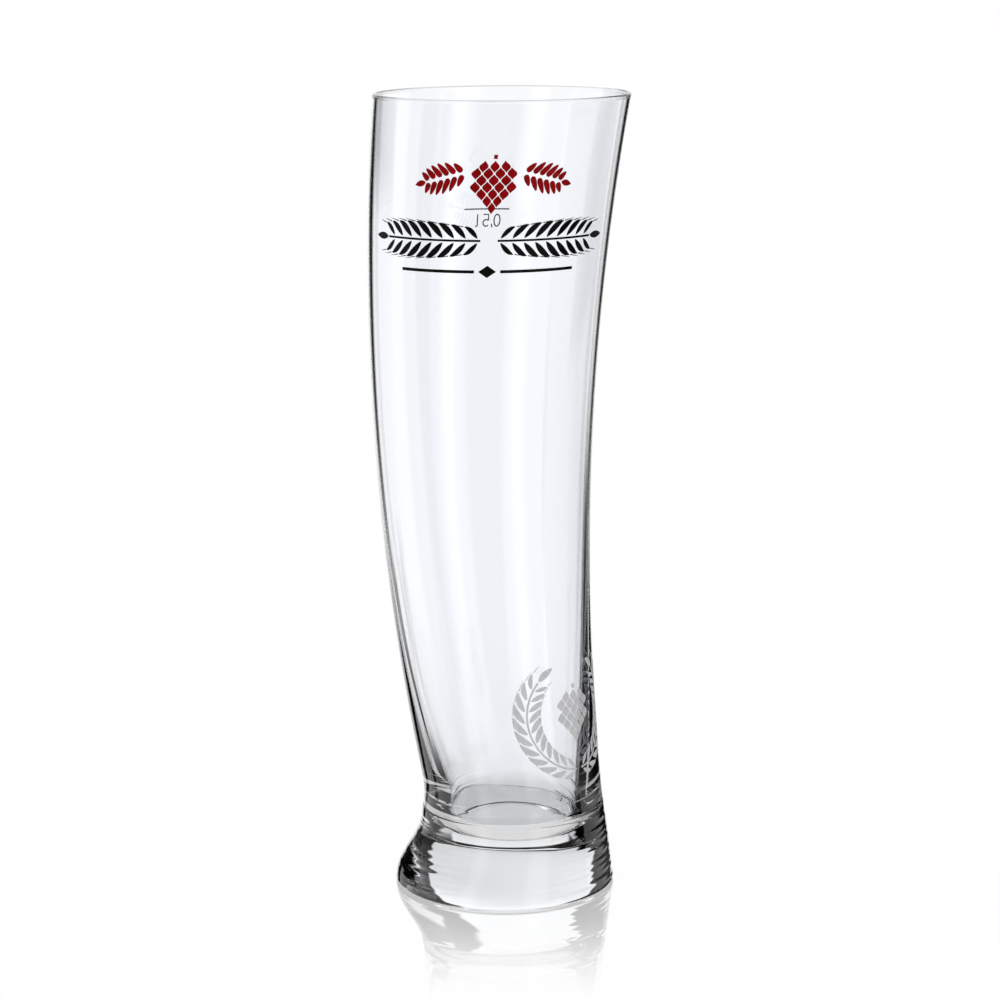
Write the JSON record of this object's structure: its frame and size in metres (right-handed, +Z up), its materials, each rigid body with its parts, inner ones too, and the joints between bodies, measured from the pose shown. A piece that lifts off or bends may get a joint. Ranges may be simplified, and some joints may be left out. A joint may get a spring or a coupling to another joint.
{
  "type": "bent wheat beer glass",
  "caption": "Tall clear beer glass with a bent conical bowl on a solid flared foot, with fired prints and a fill line, for serving wheat beer.",
  "frame": {"origin": "centre of the flat underside of the foot, on the surface that the glass stands on", "axes": "+Z up through the rim, -Y towards the front print, the bowl leans in the XZ plane with its belly towards -X"},
  "size_m": [0.0798, 0.078, 0.245],
  "materials": {
    "clear_glass": "polished clear soda-lime glass",
    "red_enamel": "fired red enamel, satin gloss",
    "black_enamel": "fired black enamel, satin gloss",
    "frosted_enamel": "fired frosted white enamel, matt and slightly see-through"
  },
  "bodies": {
    "root": {"bowl": "clear_glass", "foot": "clear_glass", "hop_cone": "red_enamel", "hop_leaf_left": "red_enamel", "hop_leaf_right": "red_enamel", "barley_ear_left": "black_enamel", "barley_ear_right": "black_enamel", "rule_left": "black_enamel", "rule_lozenge": "black_enamel", "rule_right": "black_enamel", "wreath_left": "frosted_enamel", "wreath_right": "frosted_enamel", "wreath_hop": "frosted_enamel", "fill_line": "black_enamel", "fill_zero": "black_enamel", "fill_comma": "black_enamel", "fill_five": "black_enamel", "fill_litre": "black_enamel"}
  },
  "joints": []
}
